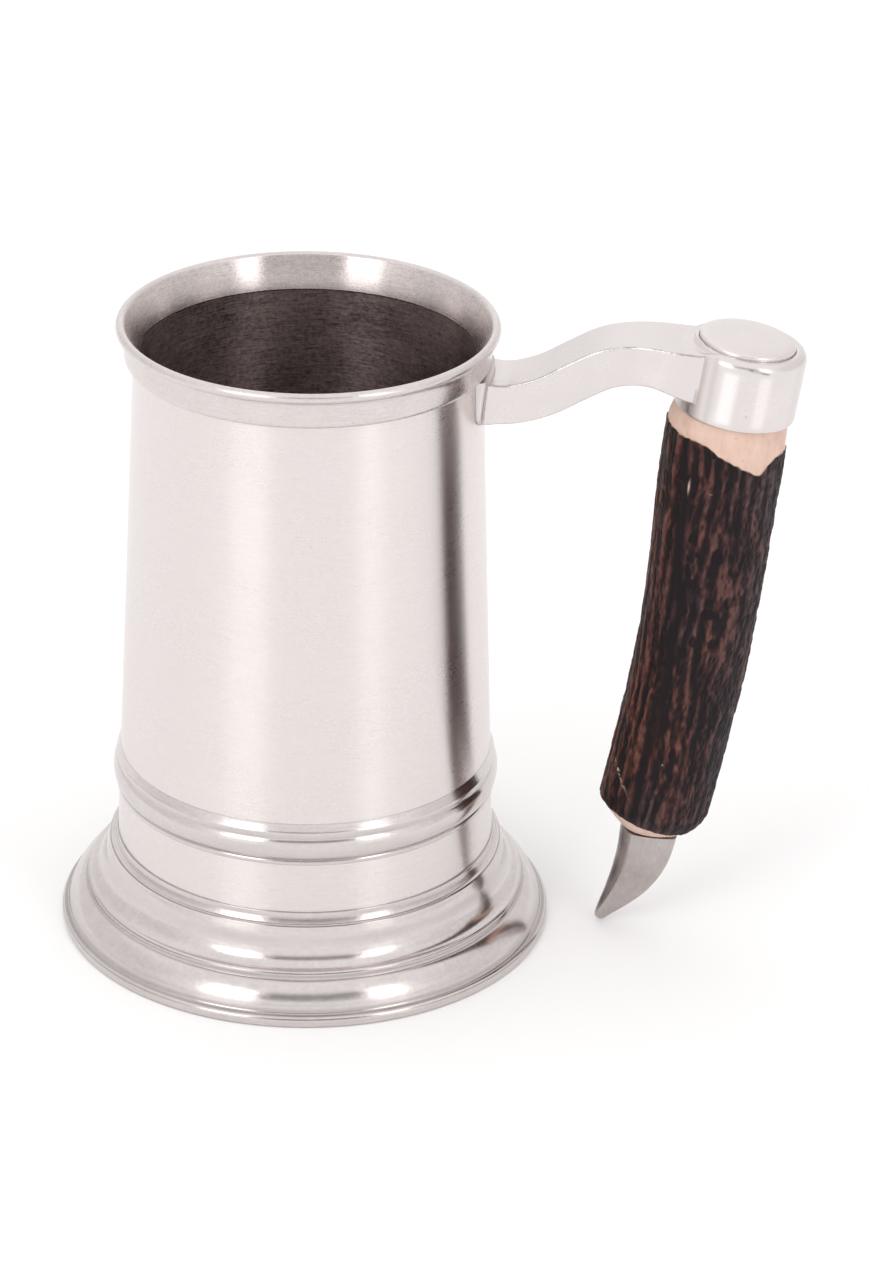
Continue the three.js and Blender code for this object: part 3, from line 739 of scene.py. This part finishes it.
def make_grip():
    """A length of stag horn, a little bent: a ridged dark bark, and pale bare horn at both ends.

    u runs from 0 at the boss to 1 at the claw, a is the angle round the horn, and lengths are in
    millimetres.
    """
    n_a, n_t = 640, 640
    end_rows = 120                                    # rows given to the chamfered lower end
    t = np.concatenate([np.linspace(0, 0.88, n_t - end_rows), np.linspace(0.88, 1, end_rows + 1)[1:]])
    a = np.linspace(0, 2 * math.pi, n_a, endpoint=False)
    t, a = np.meshgrid(t, a, indexing="ij")
    # b is the angle from the side that faces -Y, from -pi to pi, and grows towards +X
    b = np.angle(np.exp(1j * (-a - math.pi / 2)))
    top, rod = np.array(GRIP_TOP), np.array(GRIP_END - GRIP_TOP)
    length = np.linalg.norm(rod) / MM
    bow = 1.9
    bend = np.array((ROD_DIR.z, 0, -ROD_DIR.x)) * bow * MM
    side = np.array((0.0, 1.0, 0.0))
    up = np.array((math.sin(BOSS_TILT), 0, math.cos(BOSS_TILT)))

    def frame_at(u):
        u = u[..., None]
        wave = 0.36 * np.exp(-((u - 0.57) / 0.16) ** 2) - 0.38 * np.exp(-((u - 0.17) / 0.14) ** 2)
        centre = top + rod * u + bend * (4 * u * (1 - u) + wave / bow)
        along = rod + bend * 4 * (1 - 2 * u)
        along /= np.linalg.norm(along, axis=-1, keepdims=True)
        return centre, np.cross(side, along)

    # the horn starts flush with the underside of the boss, which leans a little against it
    centre, out = frame_at(0 * a[:1])
    rim = centre + (out * np.cos(a[:1])[..., None] + side * np.sin(a[:1])[..., None]) * 12.0 * MM
    start = (-0.00005 - (rim - np.array(BOSS)) @ up) / (rod @ up)
    foot = 1 - 0.0115 * (1 + np.sin(b))               # the foot is cut nearly level
    u = start * (1 - t) + foot * t
    from_top = (u - start) * length
    from_end = (foot - u) * length

    body = 12.25 + 0.72 * np.exp(-(((u - 0.12) / 0.2) ** 2)) - 0.25 * u
    body -= 0.9 * np.clip(1 - from_top / 3.4, 0, 1) ** 1.5 * (0.6 - 0.4 * np.sin(b))
    chamfer = 6.6 * np.clip(1 - from_end / 6.6, 0, 1) ** 1.25
    k = np.clip(1 - from_end / 6, 0, 1)
    body -= (1 - np.sin(b)) / 2 * chamfer + (1 + np.sin(b)) / 2 * 5.6 * (1 - np.sqrt(1 - k * k))

    # bark: broad lengthwise ribs that drift a little, split by finer islands, grooves and long pits
    drift = 0.2 * (noise_round(u, a, 4, 5, 1) - 0.5) + 0.07 * (noise_round(u, a, 13, 15, 2) - 0.5)
    run = a + drift
    broad = noise_round(u, a, 4, 9, 7)
    wide = 0.5 + 0.5 * np.cos(27 * run + 4.5 * (noise_round(u, a, 7, 16, 3) - 0.5))
    mid = noise_round(u, run, 13, 66, 4)
    small = noise_round(u, run, 40, 112, 17)
    fine = noise_round(u, run, 76, 170, 5)
    hair = noise_round(u, run, 130, 280, 6)
    smooth_sheen_side = step(b, 0.1, 0.8) * step(2.6 - b, 0, 0.8)    # the side to the right is smoother, and its bluer bark is a painted sheen
    relief = (0.24 - 0.1 * smooth_sheen_side) * wide + 0.26 * mid + 0.26 * small + (0.24 + 0.1 * smooth_sheen_side) * fine
    relief += 0.12 * (broad - 0.5)
    relief = step(relief, 0.3, 0.76) * 0.76 + 0.24 * hair
    # one deep groove runs the whole length left of the middle, and a row of oval pits beside it
    groove = -0.6 + 0.22 * np.sin(2.6 * u - 0.35) + 0.15 * (noise_round(u, a * 0, 9, 3, 18) - 0.5)
    breadth = 0.07 + 0.06 * noise_round(u, a * 0, 12, 3, 19)
    relief *= 1 - 0.75 * np.exp(-((b - groove) / breadth) ** 2)
    pit = step(noise_round(u, run, 30, 44, 8), 0.68, 0.8)
    pit *= 0.12 + 0.88 * np.exp(-((b + 0.15) / 0.5) ** 2) * step(0.68 - u, 0, 0.3)
    relief = np.clip(relief - 0.75 * pit, 0, 1)

    # pale horn is bare at both ends, past a ragged border that dips to a point on the right
    ragged = 0.8 * (noise_round(u * 0, a, 1, 34, 9) - 0.5) + 0.45 * (noise_round(u * 0, a, 1, 90, 10) - 0.5)
    dip = math.radians(33)
    fall = np.where(b < dip, 5.4 * np.clip((b + 0.42) / (dip + 0.42), 0, 1),
                    2.2 + 3.2 * np.exp(-((b - dip) / 0.26) ** 2)) * step(2.7 - b, 0, 0.9)
    top_line = 4.1 + fall + ragged
    end_line = 3.5 - 2.5 * np.sin(b) + 0.5 * ragged
    bare = np.maximum(step(top_line - from_top, -0.11, 0.11), step(end_line - from_end, -0.11, 0.11))
    bark = 1 - bare
    r = body - 0.22 + bark * (0.06 + 0.4 * relief + 0.12 * (broad - 0.5))
    r += bare * 0.08 * (noise_round(u, a, 50, 60, 11) - 0.5)

    centre, out = frame_at(u)
    pts = centre + (out * np.cos(a)[..., None] + side * np.sin(a)[..., None]) * (r * MM)[..., None]
    verts = pts.reshape(-1, 3).tolist()
    verts += [pts[0].mean(axis=0).tolist(), pts[-1].mean(axis=0).tolist()]
    first, last = len(verts) - 2, len(verts) - 1
    faces = []
    for i in range(n_t - 1):
        for j in range(n_a):
            q = (j + 1) % n_a
            faces.append((i * n_a + j, i * n_a + q, (i + 1) * n_a + q, (i + 1) * n_a + j))
    for j in range(n_a):
        q = (j + 1) % n_a
        faces.append((first, q, j))
        faces.append((last, (n_t - 1) * n_a + j, (n_t - 1) * n_a + q))
    ob = mesh_object("stag_horn_grip", verts, faces, None)
    # how red the bark is, and how blue-black: the side towards the cup is the reddest; the bluer bark on
    # the right side is a painted sheen
    red = 0.6 - 0.55 * smooth_sheen_side + 0.35 * step(-b, 0.2, 1.0) - 0.35 * step(u, 0.72, 1.0)
    red += noise_round(u, a, 6, 14, 12) - 0.5 + 0.25 * (noise_round(u, a, 30, 40, 13) - 0.5)
    red = np.clip(red, 0, 1)
    # pale nicks: scattered specks, one short cut near the top and a slanting scar near the bottom
    nick = step(noise_round(u, a, 90, 60, 14) * noise_round(u, a, 11, 9, 15), 0.83, 0.87)
    nick = np.maximum(nick, np.exp(-((u - 0.135) / 0.012) ** 2 - ((b + 0.52) / 0.016) ** 2))
    scar = (b + 0.95) - 9.0 * (u - 0.845)
    nick = np.maximum(nick, np.exp(-((u - 0.845) / 0.024) ** 2 - (scar / 0.035) ** 2)
                      * step(noise_round(u, a, 160, 60, 16), 0.35, 0.6))
    for name, field in (("bark", bark), ("relief", relief), ("red", red), ("nick", nick)):
        mark = ob.data.attributes.new(name, "FLOAT", "POINT")
        mark.data.foreach_set("value", np.concatenate([field.ravel(), [0.0, 0.0]]).astype(np.float32))
    hand_over(ob, "horn_grip", "horn", horn_material())


def horn_material():
    """Bark and bare horn, mixed by what the grip's mesh marks."""
    t = Tree("stag_horn")
    v = t.coords()
    relief, is_bark = t.attribute("relief"), t.attribute("bark")
    streak = t.noise(t.scale(v, (1.0, 1.0, 0.13)), 900.0, 4.0, 0.65)
    shade_by_arm = t.noise(t.scale(v, (1.0, 1.0, 0.4)), 330.0, 3.0, 0.6)
    tone = t.math("ADD", relief, t.math("MULTIPLY", t.math("SUBTRACT", streak, 0.5), 0.65))
    tone = t.math("ADD", tone, t.math("MULTIPLY", t.math("SUBTRACT", shade_by_arm, 0.5), 0.4))
    warm = t.ramp(tone, (0.16, (0.007, 0.003, 0.004)), (0.4, (0.026, 0.009, 0.008)),
                  (0.64, (0.062, 0.020, 0.015)), (0.98, (0.15, 0.058, 0.043)))
    cold = t.ramp(tone, (0.16, (0.007, 0.004, 0.006)), (0.42, (0.019, 0.010, 0.013)),
                  (0.66, (0.035, 0.019, 0.021)), (1.0, (0.090, 0.053, 0.052)))
    # where red is low the bark is bluer; on the right side this is a painted sheen
    bark = t.mix(t.attribute("red"), cold, warm)
    bark = t.mix(t.attribute("nick"), bark, (0.62, 0.47, 0.4))
    grain = t.noise(t.scale(v, (1.0, 1.0, 0.45)), 380.0, 4.0, 0.6)
    cream = t.ramp(grain, (0.3, (0.60, 0.405, 0.33)), (0.5, (0.69, 0.487, 0.402)),
                   (0.72, (0.74, 0.542, 0.455)))
    dots = t.span(t.voronoi(v, 430.0), 0.05, 0.14, 1.0, 0.0)
    few = t.span(t.noise(v, 240.0, 2.0, 0.5), 0.54, 0.62, 0.0, 1.0)
    cream = t.mix(t.math("MULTIPLY", t.math("MULTIPLY", dots, few), 0.65), cream, (0.32, 0.19, 0.14))
    colour = t.mix(is_bark, cream, bark)
    rough = t.span(streak, 0.3, 0.7, 0.48, 0.66)
    n = t.bump(streak, 0.35, 0.00016)
    n = t.bump(t.noise(v, 2000.0, 2.0, 0.5), 0.2, 0.00006, n)
    return t.set(Base_Color=colour, Roughness=rough, Normal=n, Specular_IOR_Level=0.2)


make_grip()


# ---- claw ----
def make_claw():
    """A hooked metal claw: a narrow facet on the left and a broad one meet in a soft ridge."""
    line = [(76.1, 26), (74.8, 18.5), (72.65, 12.6), (69.85, 7.6), (67.1, 3.4), (65.4, 0.7)]
    pts, tan = spline(line, 400)
    seg = np.hypot(*np.diff(pts, axis=0).T)
    s = np.concatenate([[0], np.cumsum(seg)])
    s /= s[-1]
    # each facet faces a direction, in degrees from -Y, at a share of the full radius
    facets = ((-78, 0.86), (8, 0.93), (100, 0.95), (178, 1.0), (-130, 0.97))
    n_along, n_round = 120, 160
    rings, shade = [], []
    for k in range(n_along + 1):
        w = 0.05 + 0.9485 * (1 - (1 - k / n_along) ** 1.5)
        x, z = (np.interp(w, s, pts[:, i]) for i in (0, 1))
        tx, tz = (np.interp(w, s, tan[:, i]) for i in (0, 1))
        radius = 6.5 * (1 - w ** 1.85) ** (0.87 - 0.42 * w ** 9)
        crisp = 9.0 - 6.0 * w ** 3
        ring = []
        for i in range(n_round):
            a = 2 * math.pi * i / n_round
            b = (math.degrees(-a - math.pi / 2) + 180) % 360 - 180
            push = sum(max(0.0, math.cos(math.radians(b - f)) / d) ** crisp for f, d in facets)
            r = radius * (0.35 + 0.65 * push ** (-1 / crisp))
            # the narrow facet on the left is painted dark and less metallic, a painted dark reflection
            left = max(0.0, 1 - ((b + 80) / 46) ** 4)
            shade.append(left * (0.7 + 0.3 * math.sin(9 * w) ** 2) * min(1.0, 6 * (1 - w)))
            cx, cy = r * math.cos(a), 0.96 * r * math.sin(a)
            ring.append(AXIS + Vector(((x + tz * cx) * MM, cy * MM, (z - tx * cx) * MM)))
        rings.append(ring)
    ob = loft("claw_tip_horn", rings, 60)
    mark = ob.data.attributes.new("painted_dark_facet", "FLOAT", "POINT")
    mark.data.foreach_set("value", shade)
    hand_over(ob, "claw_tip", "claw_metal", claw_material())


def claw_material():
    """A greyer metal than the pewter, smooth but not bright."""
    t = Tree("claw_metal")
    v = t.coords()
    cloud = t.noise(v, 150.0, 5.0, 0.6)
    fine = t.noise(t.scale(v, (1.0, 1.0, 0.4)), 1300.0, 3.0, 0.6)
    colour = t.ramp(t.math("ADD", t.math("MULTIPLY", cloud, 0.6), t.math("MULTIPLY", fine, 0.4)),
                    (0.36, (0.42, 0.375, 0.365)), (0.64, (0.53, 0.48, 0.47)))
    # painted dark reflection on the claw's narrow left facet
    colour = t.mix(t.attribute("painted_dark_facet"), colour, (0.07, 0.05, 0.046))
    rough = t.math("ADD", t.span(cloud, 0.3, 0.7, 0.16, 0.27), t.span(fine, 0.3, 0.7, -0.02, 0.03))
    n = t.bump(fine, 0.10, 0.00005)
    # less metal on that facet, to dim its reflection as part of the painted dark reflection
    metal = t.math("SUBTRACT", 1.0, t.math("MULTIPLY", t.attribute("painted_dark_facet"), 0.72))
    return t.set(Base_Color=colour, Metallic=metal, Roughness=rough, Normal=n, Specular_IOR_Level=0.12)


make_claw()


# ---- hidden steel: the frame's own pieces with a finish of their own ----
def steel():
    """A plain, slightly dull steel."""
    t = Tree("plain_steel")
    cloud = t.noise(t.coords(), 300.0, 4.0, 0.6)
    colour = t.ramp(cloud, (0.35, (0.42, 0.42, 0.43)), (0.65, (0.55, 0.55, 0.56)))
    return t.set(Base_Color=colour, Metallic=1.0, Roughness=t.span(cloud, 0.3, 0.7, 0.3, 0.45),
                 Normal=t.bump(cloud, 0.1, 0.0001))


m_steel = steel()
for node in ("tie_rod", "rod_washer", "rod_nut"):
    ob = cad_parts[node]
    ob.data.materials.clear()
    ob.data.materials.append(m_steel)


# ---- stage, light and camera ----
def make_stage():
    """A plain pale floor, just under the foot."""
    me = bpy.data.meshes.new("floor")
    s = 6.0
    me.from_pydata([(-s, -s, 0), (s, -s, 0), (s, s, 0), (-s, s, 0)], [], [(0, 1, 2, 3)])
    floor = bpy.data.objects.new("floor", me)
    bpy.context.scene.collection.objects.link(floor)
    floor.location.z = -0.0001
    t = Tree("floor_white")
    t.set(Base_Color=(0.985, 0.985, 0.985, 1), Roughness=0.9, Specular_IOR_Level=0.1)
    me.materials.append(t.mat)


def make_camera():
    """A long lens that looks down on the cup, from the side with the grip on the right."""
    turn = HANDLE_TURN
    away, above, lens = 0.880377, 0.500342, 127.040625
    yaw, pitch, roll = 0.0317 - turn, 0.4584, 0.0204
    at = AXIS + Vector((away * math.sin(turn), -away * math.cos(turn), above))
    fwd = Vector((math.sin(yaw) * math.cos(pitch), math.cos(yaw) * math.cos(pitch), -math.sin(pitch)))
    right = Vector((math.cos(yaw), -math.sin(yaw), 0))
    up = right.cross(fwd)
    r2 = math.cos(roll) * right + math.sin(roll) * up
    u2 = -math.sin(roll) * right + math.cos(roll) * up
    cam = bpy.data.cameras.new("camera")
    cam.sensor_width = 36
    cam.sensor_fit = "AUTO"
    cam.lens = lens
    cam.clip_start, cam.clip_end = 0.05, 50
    ob = bpy.data.objects.new("camera", cam)
    ob.matrix_world = Matrix(((r2.x, u2.x, -fwd.x, at.x), (r2.y, u2.y, -fwd.y, at.y),
                              (r2.z, u2.z, -fwd.z, at.z), (0, 0, 0, 1)))
    bpy.context.scene.collection.objects.link(ob)
    bpy.context.scene.camera = ob


def make_world():
    """A white light tent: two tall soft boxes flank a dim gap, all given by direction in the room."""
    w = bpy.data.worlds.new("tent")
    bpy.context.scene.world = w
    w.use_nodes = True
    t = w.node_tree
    t.nodes.clear()
    out = t.nodes.new("ShaderNodeOutputWorld")
    bg = t.nodes.new("ShaderNodeBackground")
    t.links.new(bg.outputs[0], out.inputs[0])
    tc = t.nodes.new("ShaderNodeTexCoord")
    rot = t.nodes.new("ShaderNodeMapping")
    rot.inputs["Rotation"].default_value = (0, 0, math.pi / 2 - HANDLE_TURN)
    t.links.new(tc.outputs["Generated"], rot.inputs["Vector"])
    sep = t.nodes.new("ShaderNodeSeparateXYZ")
    t.links.new(rot.outputs[0], sep.inputs[0])

    def m(op, a, b=0.0):
        n = t.nodes.new("ShaderNodeMath")
        n.operation = op
        for s, v in zip(n.inputs, (a, b)):
            if isinstance(v, bpy.types.NodeSocket):
                t.links.new(v, s)
            else:
                s.default_value = v
        return n.outputs[0]

    def window(value, lo, hi, soft):
        """1 between lo and hi, falling to 0 over soft."""
        def edge(e, sign):
            n = t.nodes.new("ShaderNodeMapRange")
            n.interpolation_type = "SMOOTHSTEP"
            t.links.new(value, n.inputs[0])
            n.inputs[1].default_value = e - soft / 2
            n.inputs[2].default_value = e + soft / 2
            n.inputs[3].default_value = 0.0 if sign > 0 else 1.0
            n.inputs[4].default_value = 1.0 if sign > 0 else 0.0
            return n.outputs[0]
        return m("MULTIPLY", edge(lo, 1), edge(hi, -1))

    # after the turn, +X points from the cup to the camera and +Y to the camera's right
    azimuth = m("MULTIPLY", m("ARCTAN2", sep.outputs[1], sep.outputs[0]), 180 / math.pi)
    height = m("MULTIPLY", m("ARCSINE", sep.outputs[2]), 180 / math.pi)
    sides = m("ADD", window(azimuth, -50, -25.5, 2), window(azimuth, 34, 49.5, 2))
    faint = m("MULTIPLY", window(height, -5, 22, 8), 0.11)
    boxes = m("MULTIPLY", sides, m("ADD", window(height, 20, 44, 4), faint))
    slot = m("MULTIPLY", window(azimuth, -25.5, 34, 2), window(height, 27, 44, 2.5))
    # the walls to either side are less brightly lit than the ceiling and the front
    flanks = m("ADD", window(azimuth, -165, -68, 30), window(azimuth, 68, 165, 30))
    flanks = m("MULTIPLY", flanks, window(height, -60, 42, 25))
    level = m("SUBTRACT", 1.13, m("MULTIPLY", flanks, 0.2))
    level = m("ADD", level, m("MULTIPLY", boxes, 2.4))
    level = m("SUBTRACT", level, m("MULTIPLY", slot, 0.84))
    bg.inputs["Color"].default_value = (1.0, 0.993, 0.99, 1)
    t.links.new(level, bg.inputs["Strength"])


make_stage()
make_camera()
make_world()
scene = bpy.context.scene
scene.view_settings.view_transform = "Standard"
scene.view_settings.look = "None"
